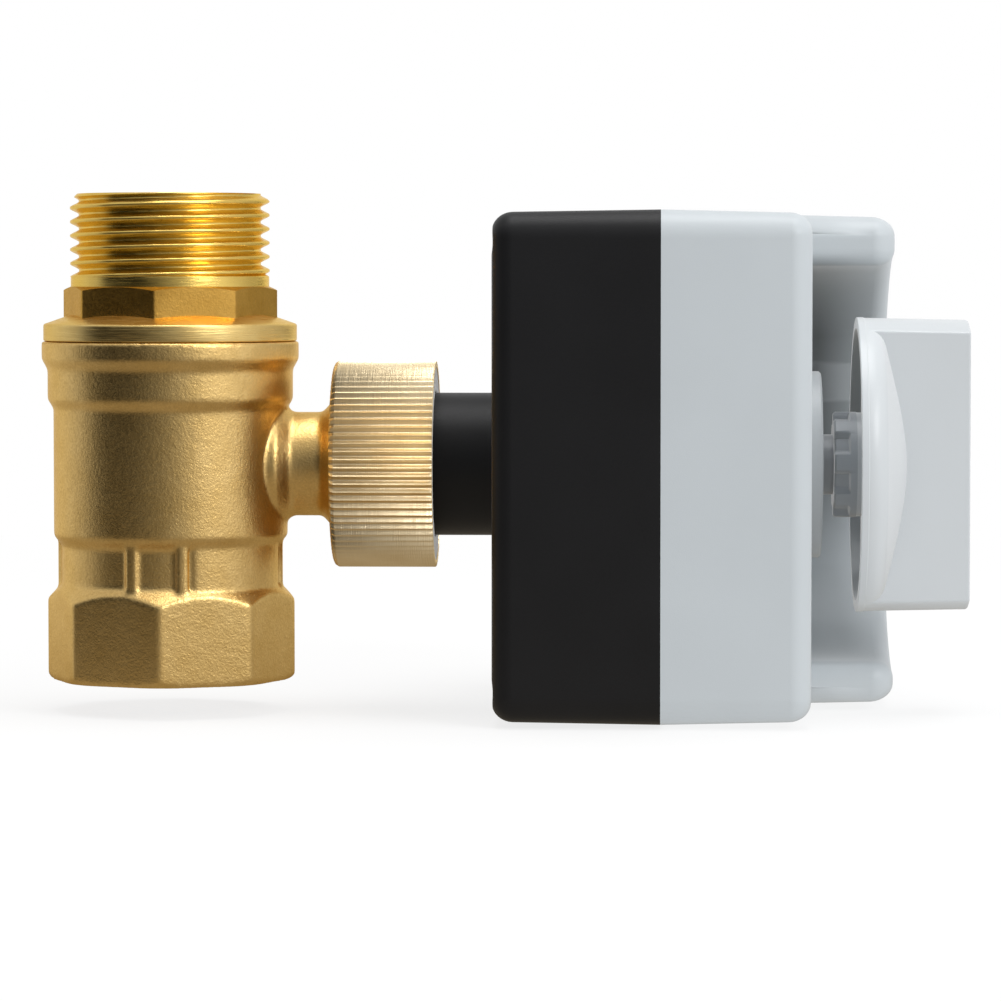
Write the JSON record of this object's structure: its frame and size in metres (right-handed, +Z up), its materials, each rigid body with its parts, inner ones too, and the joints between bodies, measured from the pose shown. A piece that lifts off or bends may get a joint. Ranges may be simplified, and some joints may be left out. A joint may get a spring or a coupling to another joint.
{
  "type": "motorized ball valve",
  "caption": "Motor-driven brass ball valve for a pipe: threaded body with a male and a female end, union nut, black and grey actuator box, hand knob and cable gland",
  "frame": {"origin": "centre of the female port's end face", "axes": "+Z runs up the pipe to the male end, +X runs along the stem to the hand knob, +Y points to the cable gland's side"},
  "size_m": [0.1541, 0.0985, 0.0858],
  "materials": {
    "brass_cast": "sandblasted cast brass",
    "brass_nut": "bright ribbed brass",
    "brass_turned": "turned brass",
    "chrome": "polished chrome plate",
    "seat_white": "white fluoropolymer",
    "ring_rubber": "black rubber",
    "base_black": "black moulded, fine grain",
    "cover_grey": "light grey moulded, fine grain",
    "dial_grey": "light grey moulded",
    "knob_grey": "light grey moulded, satin",
    "spindle_grey": "mid grey moulded",
    "steel": "zinc plated",
    "gear_steel": "sintered steel",
    "gear_nylon": "natural nylon",
    "motor_can": "drawn steel can",
    "bush_nylon": "natural nylon",
    "cam_white": "white moulded",
    "switch_black": "black moulded",
    "board_green": "green coated board",
    "standoff_white": "white nylon",
    "terminal_green": "green moulded",
    "capacitor_blue": "blue sleeve",
    "gland_black": "black nylon"
  },
  "bodies": {
    "valve": {"adapter_o_ring": "ring_rubber", "base_housing": "base_black", "board_standoffs": "standoff_white", "capacitor": "capacitor_blue", "circuit_board": "board_green", "closed_switch": "switch_black", "cover": "cover_grey", "cover_gasket": "ring_rubber", "cover_screws": "steel", "dial_disc": "dial_grey", "end_adapter": "brass_cast", "gear_plate": "steel", "gland_body": "gland_black", "gland_cap": "gland_black", "gland_locknut": "gland_black", "gland_seal": "ring_rubber", "idler_pin": "steel", "lower_bush": "bush_nylon", "lower_seat": "seat_white", "motor": "motor_can", "motor_plate": "steel", "neck_gasket": "ring_rubber", "open_switch": "switch_black", "plate_pillars": "steel", "plate_screws": "steel", "spindle_seal": "ring_rubber", "stem_thrust_washer": "seat_white", "switch_levers": "steel", "switch_screws": "steel", "terminal_block": "terminal_green", "upper_bush": "bush_nylon", "upper_seat": "seat_white", "valve_body": "brass_cast"},
    "drive": {"ball": "chrome", "valve_stem": "brass_turned", "stem_o_rings": "ring_rubber", "output_shaft": "steel", "output_gear": "gear_steel", "switch_cam": "cam_white", "shaft_circlip": "steel", "knob_spring": "steel"},
    "hand_knob": {"knob": "knob_grey", "knob_spindle": "spindle_grey", "knob_screw": "steel"},
    "idler": {"idler_gear": "gear_nylon"},
    "pinion": {"motor_pinion": "gear_steel"},
    "nut_carrier": {"nut_slip_ring": "steel"},
    "nut": {"union_nut": "brass_nut"}
  },
  "joints": [
    {"name": "valve_turn", "type": "hinge", "parent": "valve", "child": "drive", "pos_m": [0, 0, 0.036], "axis": [1, 0, 0], "range_deg": [0, 90]},
    {"name": "knob_press", "type": "slide", "parent": "drive", "child": "hand_knob", "axis": [1, 0, 0], "range_m": [-0.0042, 0], "stiffness_N_per_m": 600, "springref_m": 0.005},
    {"name": "idler_spin", "type": "hinge", "parent": "valve", "child": "idler", "pos_m": [0, 0.02773, 0.0399], "axis": [1, 0, 0], "range_deg": [-331, 1]},
    {"name": "pinion_spin", "type": "hinge", "parent": "valve", "child": "pinion", "pos_m": [0, 0.0319, 0.01626], "axis": [1, 0, 0], "range_deg": [-1, 991]},
    {"name": "nut_travel", "type": "slide", "parent": "valve", "child": "nut_carrier", "axis": [1, 0, 0], "range_m": [0, 0.00751]},
    {"name": "nut_turn", "type": "hinge", "parent": "nut_carrier", "child": "nut", "pos_m": [0.036, 0, 0.036], "axis": [1, 0, 0], "range_deg": [0, 1800]}
  ],
  "couplings": [
    {"joint": "idler_spin", "follows": "valve_turn", "ratio": -3.6667},
    {"joint": "pinion_spin", "follows": "valve_turn", "ratio": 11},
    {"joint": "nut_travel", "follows": "nut_turn", "m_per_rad": 0.00023873}
  ]
}
